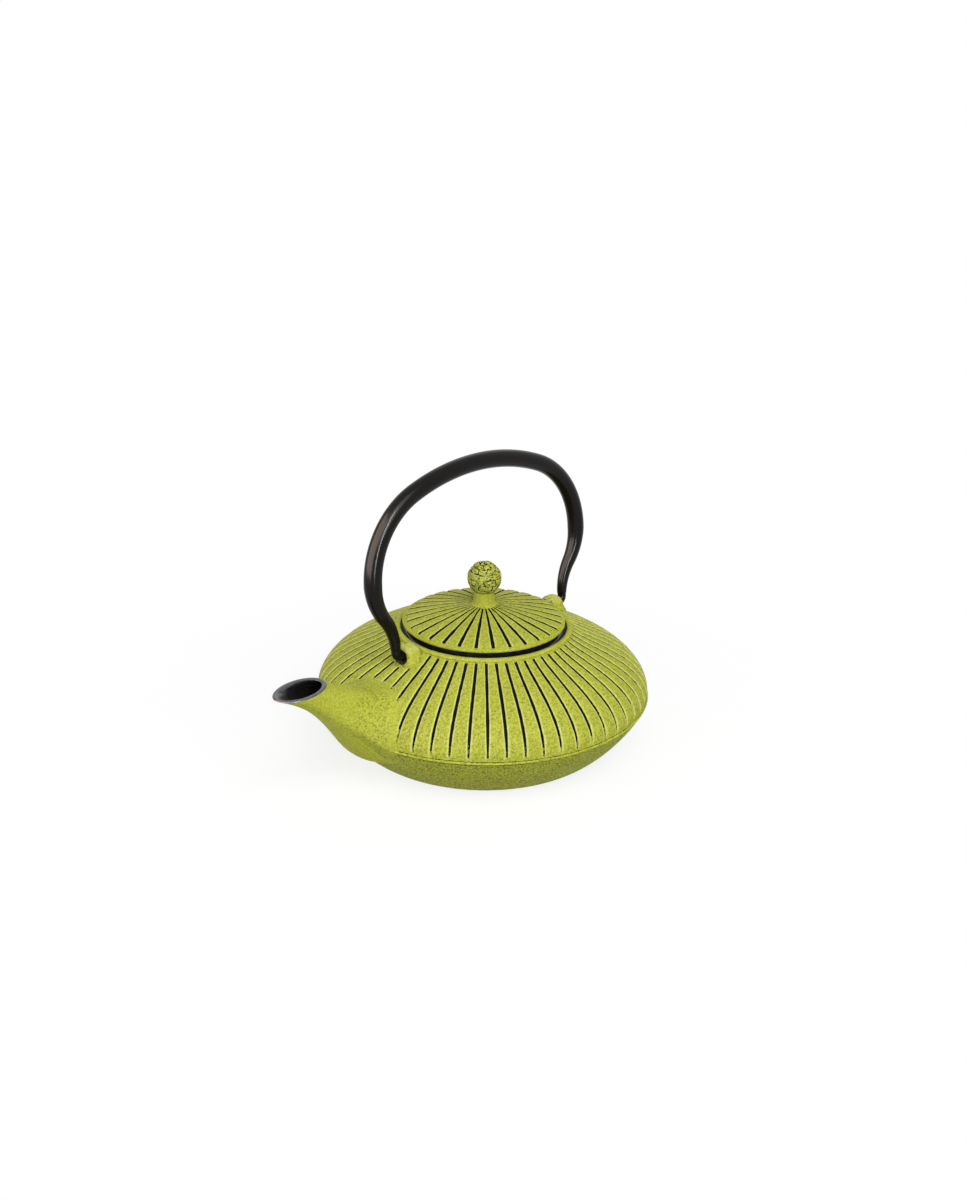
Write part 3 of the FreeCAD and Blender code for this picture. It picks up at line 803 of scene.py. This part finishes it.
def hooped(name, outline, columns, closed=False, filled=False):
    """A round sheet drawn out from a circle, extruded from each hoop of its outline to the next."""
    bpy.ops.object.select_all(action="DESELECT")
    radius, height = outline[0]
    bpy.ops.mesh.primitive_circle_add(vertices=columns, radius=radius * MM, location=(0.0, 0.0, height * MM),
                                      fill_type="TRIFAN" if filled else "NOTHING")
    piece = bpy.context.active_object
    piece.name = name
    piece.data.name = name
    bpy.ops.object.transform_apply()
    bpy.ops.object.mode_set(mode="EDIT")
    bpy.ops.mesh.select_all(action="SELECT")
    if filled:
        bpy.ops.mesh.region_to_loop()
    hoops = list(outline)
    if closed:
        hoops.append(outline[0])
    for (radius, height), (radius_after, height_after) in zip(hoops, hoops[1:]):
        rise = (0.0, 0.0, (height_after - height) * MM)
        share = radius_after / radius
        bpy.ops.mesh.extrude_region_move(TRANSFORM_OT_translate={"value": rise})
        bpy.ops.transform.resize(value=(share, share, 1.0), center_override=(0.0, 0.0, height_after * MM))
    bpy.ops.mesh.select_all(action="SELECT")
    bpy.ops.mesh.remove_doubles(threshold=MERGE_DISTANCE)
    bpy.ops.object.mode_set(mode="OBJECT")
    outward(piece)
    return piece


def wires(piece, thickness):
    """The piece's edges as wires."""
    choose(piece)
    weave = piece.modifiers.new("weave", "WIREFRAME")
    weave.thickness = thickness * MM
    weave.use_boundary = True
    bpy.ops.object.modifier_apply(modifier=weave.name)
    bpy.ops.object.shade_smooth_by_angle(angle=SHARP_EDGE)
    return piece


def strainer_rim():
    return hooped("strainer_rim", RIM_OUTLINE, SHEET_COLUMNS, closed=True)


def strainer_hem():
    return hooped("strainer_hem", HEM_OUTLINE, SHEET_COLUMNS, closed=True)


def strainer_wall():
    outline = [(WALL_RADIUS, WALL_START + WALL_HEIGHT * index / WALL_ROWS) for index in range(WALL_ROWS + 1)]
    return wires(hooped("strainer_wall", outline, WALL_COLUMNS), WALL_WIRE)


def strainer_floor():
    outline = [(FLOOR_RADIUS * index / FLOOR_RINGS, FLOOR_HEIGHT) for index in range(1, FLOOR_RINGS + 1)]
    return wires(hooped("strainer_floor", outline, FLOOR_COLUMNS, filled=True), FLOOR_WIRE)


# Materials

def shade(code):
    """A colour written as sRGB hex, made linear."""
    values = [int(code[place:place + 2], 16) / 255 for place in (1, 3, 5)]
    return tuple(v / 12.92 if v <= 0.04045 else ((v + 0.055) / 1.055) ** 2.4 for v in values) + (1.0,)


def add(tree, kind, settings=None, **sockets):
    """A node with its settings and its sockets, which are named, or numbered as i0, i1 and so on."""
    node = tree.nodes.new("ShaderNode" + kind)
    for key, value in (settings or {}).items():
        setattr(node, key, value)
    for key, value in sockets.items():
        socket = node.inputs[int(key[1:])] if key[1:].isdigit() else node.inputs[key.replace("_", " ")]
        if isinstance(value, bpy.types.NodeSocket):
            tree.links.new(value, socket)
        else:
            socket.default_value = value
    return node


def new_material(name):
    material = bpy.data.materials.new(name)
    material.use_nodes = True
    tree = material.node_tree
    tree.nodes.clear()
    place = add(tree, "TexCoord").outputs["Object"]
    return material, tree, place


def finished(tree, **sockets):
    surface = add(tree, "BsdfPrincipled", **sockets)
    add(tree, "OutputMaterial", Surface=surface.outputs[0])


def green_paint():
    """Matt lime green paint rubbed over black: black stays in the grooves, and the ribs' edges are pale with
    wear and a painted highlight. Painted shade darkens the creases at the lugs and the spout's root.
    """
    material, tree, place = new_material("lime_paint_on_cast_iron")
    recess = add(tree, "Attribute", {"attribute_name": "recess"}).outputs["Fac"]
    speckle_and_shade = add(tree, "Attribute", {"attribute_name": "speckle_and_shade"}).outputs["Fac"]
    edge = add(tree, "Attribute", {"attribute_name": "edge"}).outputs["Fac"]
    fine = add(tree, "TexNoise", Vector=place, Scale=PAINT_GRIT / MM, Detail=4.0, Roughness=0.65).outputs[0]
    broad = add(tree, "TexNoise", Vector=place, Scale=PAINT_CLOUD / MM, Detail=3.0).outputs[0]
    rag = add(tree, "TexNoise", Vector=place, Scale=PAINT_RAG / MM, Detail=5.0, Roughness=0.7).outputs[0]
    dots = add(tree, "TexNoise", Vector=place, Scale=PAINT_DOTS / MM, Detail=2.0, Roughness=0.6).outputs[0]
    lumps = add(tree, "TexNoise", Vector=place, Scale=PAINT_LUMPS / MM, Detail=3.0, Roughness=0.65).outputs[0]

    # Green with darker clouds
    greens = add(tree, "Mix", COLOURS, i0=broad, i6=shade("#B9BE3C"), i7=shade("#CBCF50")).outputs[2]
    cloud = add(tree, "MapRange", Value=fine, From_Min=0.41, From_Max=0.67, To_Max=0.58).outputs[0]
    greens = add(tree, "Mix", COLOURS, i0=cloud, i6=greens, i7=shade("#7F8428")).outputs[2]

    # Pale, broken wear on the edges, partly a painted highlight; on the lugs' tops it is only a painted
    # highlight
    wear_and_highlight = add(tree, "MapRange", Value=rag, From_Min=0.3, From_Max=0.5, To_Max=0.75).outputs[0]
    wear_and_highlight = add(tree, "Math", TIMES, i0=edge, i1=wear_and_highlight).outputs[0]
    greens = add(tree, "Mix", COLOURS, i0=wear_and_highlight, i6=greens, i7=shade("#E4E78A")).outputs[2]

    # Mottle and black pits where the casting is speckled, and painted shade as olive mottle in the lugs'
    # creases
    mottle = add(tree, "MapRange", Value=lumps, From_Min=0.51, From_Max=0.59, To_Max=0.85).outputs[0]
    mottle = add(tree, "Math", TIMES, i0=mottle, i1=speckle_and_shade).outputs[0]
    greens = add(tree, "Mix", COLOURS, i0=mottle, i6=greens, i7=shade("#5E621A")).outputs[2]
    dots = add(tree, "Math", TIMES_PLUS, i0=speckle_and_shade, i1=0.14, i2=dots).outputs[0]
    pits = add(tree, "MapRange", Value=dots, From_Min=0.7, From_Max=0.78, To_Max=0.75).outputs[0]

    # Ragged black in the recesses, which in the creases at the lugs and the spout's root is painted shade
    ragged = add(tree, "Math", TIMES_PLUS, i0=rag, i1=1.8, i2=recess).outputs[0]
    black = add(tree, "MapRange", Value=ragged, From_Min=1.24, From_Max=1.4).outputs[0]
    dark = add(tree, "Math", LARGER, i0=pits, i1=black).outputs[0]
    colour = add(tree, "Mix", COLOURS, i0=dark, i6=greens, i7=shade("#14140C")).outputs[2]

    # Grit all over, and lumps where the casting is speckled
    sheen = add(tree, "MapRange", Value=fine, From_Min=0.3, From_Max=0.7,
                To_Min=0.5, To_Max=0.65).outputs[0]
    skin = add(tree, "Bump", Strength=0.5, Distance=0.0004, Height=fine).outputs[0]
    height = add(tree, "Math", TIMES, i0=lumps, i1=speckle_and_shade).outputs[0]
    cast = add(tree, "Bump", Strength=0.8, Distance=0.001, Height=height, Normal=skin).outputs[0]
    finished(tree, Base_Color=colour, Roughness=sheen, Specular_IOR_Level=PAINT_SHINE, Normal=cast)
    return material


def black_enamel():
    """Glassy black enamel that lines the pot, with a painted soft grey sheen on its lips."""
    material, tree, place = new_material("black_enamel")
    ripple = add(tree, "TexNoise", Vector=place, Scale=ENAMEL_RIPPLE / MM, Detail=3.0).outputs[0]
    lip = add(tree, "Attribute", {"attribute_name": "edge"}).outputs["Fac"]
    colour = add(tree, "Mix", COLOURS, i0=ripple, i6=shade("#100F0F"), i7=shade("#211F1E")).outputs[2]
    # Painted grey sheen on the lips
    colour = add(tree, "Mix", COLOURS, i0=lip, i6=colour, i7=shade("#5A585C")).outputs[2]
    sheen = add(tree, "MapRange", Value=ripple, From_Min=0.3, From_Max=0.7,
                To_Min=0.18, To_Max=0.3).outputs[0]
    skin = add(tree, "Bump", Strength=0.15, Distance=0.0003, Height=ripple).outputs[0]
    finished(tree, Base_Color=colour, Roughness=sheen, Normal=skin)
    return material


def black_lacquer():
    """Half-gloss black lacquer on the bent steel handle, faintly brown in the light, with orange peel."""
    material, tree, place = new_material("black_lacquer_on_steel")
    peel = add(tree, "TexNoise", Vector=place, Scale=LACQUER_PEEL / MM, Detail=2.0).outputs[0]
    broad = add(tree, "TexNoise", Vector=place, Scale=LACQUER_CLOUD / MM, Detail=2.0).outputs[0]
    colour = add(tree, "Mix", COLOURS, i0=broad, i6=shade("#0B0908"), i7=shade("#15110F")).outputs[2]
    sheen = add(tree, "MapRange", Value=broad, From_Min=0.3, From_Max=0.7,
                To_Min=0.17, To_Max=0.23).outputs[0]
    skin = add(tree, "Bump", Strength=0.02, Distance=0.0002, Height=peel).outputs[0]
    finished(tree, Base_Color=colour, Roughness=sheen, Specular_IOR_Level=LACQUER_SHINE, Normal=skin)
    return material


def stainless():
    """Bright stainless sheet and wire with fine rolling marks."""
    material, tree, place = new_material("stainless_steel")
    rates = tuple(rate / MM for rate in ROLLING_MARKS)
    stretch = add(tree, "Mapping", Vector=place, Scale=rates).outputs[0]
    marks = add(tree, "TexNoise", Vector=stretch, Scale=1.0, Detail=3.0).outputs[0]
    colour = add(tree, "Mix", COLOURS, i0=marks, i6=shade("#B4B2AE"), i7=shade("#D2D0CC")).outputs[2]
    sheen = add(tree, "MapRange", Value=marks, From_Min=0.3, From_Max=0.7,
                To_Min=0.22, To_Max=0.36).outputs[0]
    skin = add(tree, "Bump", Strength=0.06, Distance=0.0001, Height=marks).outputs[0]
    finished(tree, Base_Color=colour, Metallic=1.0, Roughness=sheen, Normal=skin)
    return material


def looked_at(tree):
    """1 for rays that show the backdrop: straight to the camera, or mirrored or through glass."""
    rays = add(tree, "LightPath").outputs
    bent = add(tree, "Math", LARGER, i0=rays["Is Glossy Ray"], i1=rays["Is Transmission Ray"]).outputs[0]
    return add(tree, "Math", LARGER, i0=rays["Is Camera Ray"], i1=bent).outputs[0]


def white_floor():
    """White paper: lit paper with a soft shadow near the pot, even white further out."""
    material, tree, place = new_material("white_paper")
    away = add(tree, "VectorMath", {"operation": "LENGTH"}, i0=place).outputs["Value"]
    far = add(tree, "MapRange", {"interpolation_type": "SMOOTHSTEP"}, Value=away,
              From_Min=PAPER_FADE[0], From_Max=PAPER_FADE[1]).outputs[0]
    paper = add(tree, "BsdfDiffuse", Color=shade("#7C7C7C")).outputs[0]
    glow = add(tree, "Emission", Color=shade(WHITE), Strength=PAPER_GLOW).outputs[0]
    white = add(tree, "Emission", Color=shade(WHITE), Strength=1.0).outputs[0]
    near = add(tree, "AddShader", i0=paper, i1=glow).outputs[0]
    seen = add(tree, "MixShader", i0=far, i1=near, i2=white).outputs[0]
    bounce = add(tree, "BsdfDiffuse", Color=shade("#C8C8C8")).outputs[0]
    both = add(tree, "MixShader", i0=looked_at(tree), i1=bounce, i2=seen).outputs[0]
    add(tree, "OutputMaterial", Surface=both)
    return material


# Stage, light and camera

def stage():
    """A white floor, and a room that is white to look at and dimmer as a light."""
    bpy.ops.mesh.primitive_plane_add(size=STAGE_SIZE)
    floor = bpy.context.active_object
    floor.name = "floor"
    floor.data.materials.append(white_floor())
    world = bpy.data.worlds.new("studio")
    bpy.context.scene.world = world
    world.use_nodes = True
    tree = world.node_tree
    tree.nodes.clear()
    room = add(tree, "Background", Color=shade(WHITE), Strength=ROOM_LIGHT).outputs[0]
    white = add(tree, "Background", Color=shade(WHITE), Strength=1.0).outputs[0]
    both = add(tree, "MixShader", i0=looked_at(tree), i1=room, i2=white).outputs[0]
    add(tree, "OutputWorld", Surface=both)


def softbox(name, place, width, height, watts, tint=WHITE, only_mirrored=False):
    """A lamp that faces the pot. One that is only mirrored gives no diffuse light."""
    data = bpy.data.lights.new(name, "AREA")
    data.shape = "RECTANGLE"
    data.size = width
    data.size_y = height
    data.energy = watts
    data.color = shade(tint)[:3]
    lamp = bpy.data.objects.new(name, data)
    bpy.context.collection.objects.link(lamp)
    lamp.location = place
    lamp.rotation_euler = (Vector(place) - LIGHT_TARGET).to_track_quat("Z", "Y").to_euler()
    lamp.visible_diffuse = not only_mirrored


def camera():
    data = bpy.data.cameras.new("camera")
    data.sensor_width = CAMERA_SENSOR
    data.lens = CAMERA_LENS
    data.clip_start = CAMERA_NEAREST
    data.dof.use_dof = False
    eye = bpy.data.objects.new("camera", data)
    bpy.context.collection.objects.link(eye)
    turn = Matrix((CAMERA_RIGHT, CAMERA_UP, CAMERA_BACK)).transposed().to_4x4()
    eye.matrix_world = Matrix.Translation(CAMERA_PLACE) @ turn
    bpy.context.scene.camera = eye


paint = green_paint()
enamel = black_enamel()
lacquer = black_lacquer()
steel = stainless()

fitted(pot_shell(), "pot", "pot_body", "green_iron", paint, enamel)
fitted(pot_spout(), "pot", "pot_body", "green_iron", paint, enamel)
fitted(pot_lug("pot_lug_front", 1), "pot", "pot_body", "green_iron", paint)
fitted(pot_lug("pot_lug_rear", -1), "pot", "pot_body", "green_iron", paint)
fitted(lid_casting(), "lid", "lid", "green_iron", paint, enamel)
fitted(knob_ball(), "lid", "lid_knob", "green_iron", paint)
fitted(bail_tube(), "handle", "handle_tube", "black_steel", lacquer)
fitted(strainer_rim(), "infuser", "infuser_rim", "stainless", steel)
fitted(strainer_wall(), "infuser", "infuser_wall", "stainless", steel)
fitted(strainer_floor(), "infuser", "infuser_base", "stainless", steel)
fitted(strainer_hem(), "infuser", "infuser_base_ring", "stainless", steel)

for name, material in (("handle_pin_front", lacquer), ("handle_pin_rear", lacquer),
                       ("knob_screw", steel), ("knob_washer", steel)):
    nodes[name].data.materials.clear()
    nodes[name].data.materials.append(material)

stage()
softbox("key", (0.45, 0.95, 1.1), width=1.2, height=1.2, watts=20.0)
softbox("fill", (1.15, -0.05, 0.5), width=0.8, height=0.8, watts=1.8)
softbox("back", (-0.9, -0.7, 0.9), width=0.8, height=0.8, watts=1.0)
softbox("left_panel", (1.2, -0.16, 0.55), width=2.0, height=1.8, watts=110.0,
        tint="#FFE6D4", only_mirrored=True)
softbox("right_strip", (0.5, 1.09, 0.5), width=0.12, height=1.6, watts=30.0, only_mirrored=True)
camera()
scene = bpy.context.scene
scene.view_settings.view_transform = "Standard"
